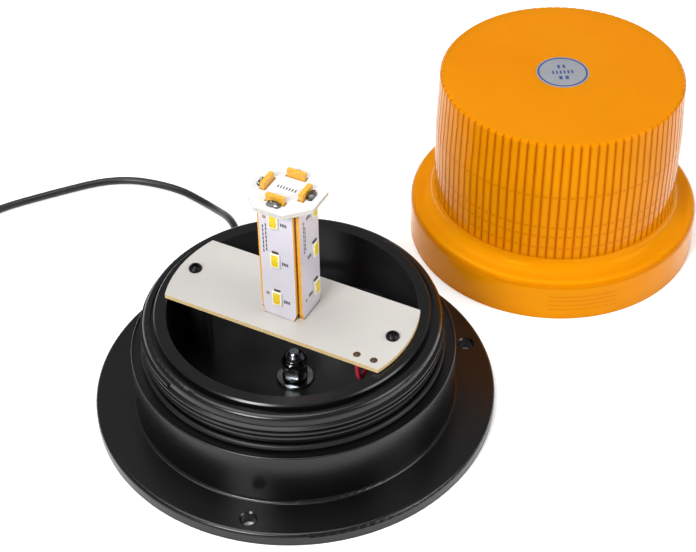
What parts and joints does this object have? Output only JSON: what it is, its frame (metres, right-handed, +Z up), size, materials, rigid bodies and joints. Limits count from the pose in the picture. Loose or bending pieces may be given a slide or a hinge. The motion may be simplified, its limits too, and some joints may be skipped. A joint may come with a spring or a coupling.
{
  "type": "magnetic strobe light",
  "caption": "Amber vehicle beacon, opened: round magnetic base with threaded neck, LED column on a board, screw-on fluted lens, lead with accessory plug.",
  "frame": {"origin": "centre of the base's mounting face, on the surface that it stands on", "axes": "+Z up along the stud and the neck; the lens stands towards +X and +Y, the cable leaves towards +Y"},
  "size_m": [0.3265, 0.2105, 0.0938],
  "materials": {
    "housing_abs": "moulded, satin",
    "amber_polycarbonate": "moulded, clear amber",
    "label_film": "printed film",
    "white_board": "solder mask on glass-fibre board",
    "led_body": "moulded",
    "led_phosphor": "silicone with phosphor",
    "solder": "reflowed tin",
    "zinc_steel": "zinc plated",
    "magnet_steel": "nickel plated",
    "ferrite": "sintered",
    "black_rubber": "moulded",
    "screw_black": "black oxide",
    "chip_epoxy": "moulded epoxy",
    "capacitor_can": "drawn can",
    "resistor_body": "glazed ceramic",
    "lead_red": "PVC insulation",
    "lead_black": "PVC insulation",
    "cable_jacket": "PVC jacket",
    "tie_plastic": "moulded",
    "plug_plastic": "moulded",
    "contact_metal": "nickel plated brass",
    "fuse_glass": "glass tube with metal caps"
  },
  "bodies": {
    "base": {"base_housing": "housing_abs", "neck_seal": "black_rubber", "magnet_cup": "magnet_steel", "magnet_ring": "ferrite", "magnet_pad": "black_rubber", "mounting_stud": "zinc_steel", "stud_washer": "zinc_steel", "stud_spring_washer": "zinc_steel", "stud_nut": "zinc_steel", "main_board": "white_board", "board_screws": "screw_black", "led_board_front": "white_board", "led_board_right": "white_board", "led_board_back": "white_board", "led_board_left": "white_board", "cap_board": "white_board", "led_housings": "led_body", "led_phosphors": "led_phosphor", "board_solder": "solder", "driver_chip": "chip_epoxy", "driver_capacitor": "capacitor_can", "rectifier_diode": "chip_epoxy", "driver_resistors": "resistor_body", "red_wire": "lead_red", "black_wire": "lead_black", "cable_grommet": "black_rubber", "cable_entry": "cable_jacket", "power_cable": "cable_jacket", "cable_coil": "cable_jacket", "coil_tie": "tie_plastic", "cable_tail": "cable_jacket", "plug_cable_end": "cable_jacket", "plug_shell": "plug_plastic", "plug_nose_ring": "plug_plastic", "plug_tip_spring": "zinc_steel", "plug_strain_relief": "black_rubber"},
    "lens": {"lens": "amber_polycarbonate", "lens_label": "label_film"},
    "plug_tip": {"plug_tip": "contact_metal", "plug_fuse": "fuse_glass"},
    "side_contact_right": {"plug_side_contact_right": "contact_metal"},
    "side_contact_left": {"plug_side_contact_left": "contact_metal"}
  },
  "joints": [
    {"name": "lens_lift", "type": "slide", "parent": "base", "child": "lens", "axis": [-0.4074, -0.3389, 0.848], "range_m": [0, 0.2525]},
    {"name": "plug_tip_slide", "type": "slide", "parent": "base", "child": "plug_tip", "axis": [0, 1, 0], "range_m": [0, 0.003], "stiffness_N_per_m": 500, "springref_m": -0.004, "deforming": ["plug_tip_spring"]},
    {"name": "side_contact_right_press", "type": "slide", "parent": "base", "child": "side_contact_right", "axis": [-1, 0, 0], "range_m": [0, 0.0012], "stiffness_N_per_m": 1500, "springref_m": -0.001},
    {"name": "side_contact_left_press", "type": "slide", "parent": "base", "child": "side_contact_left", "axis": [1, 0, 0], "range_m": [0, 0.0012], "stiffness_N_per_m": 1500, "springref_m": -0.001}
  ]
}
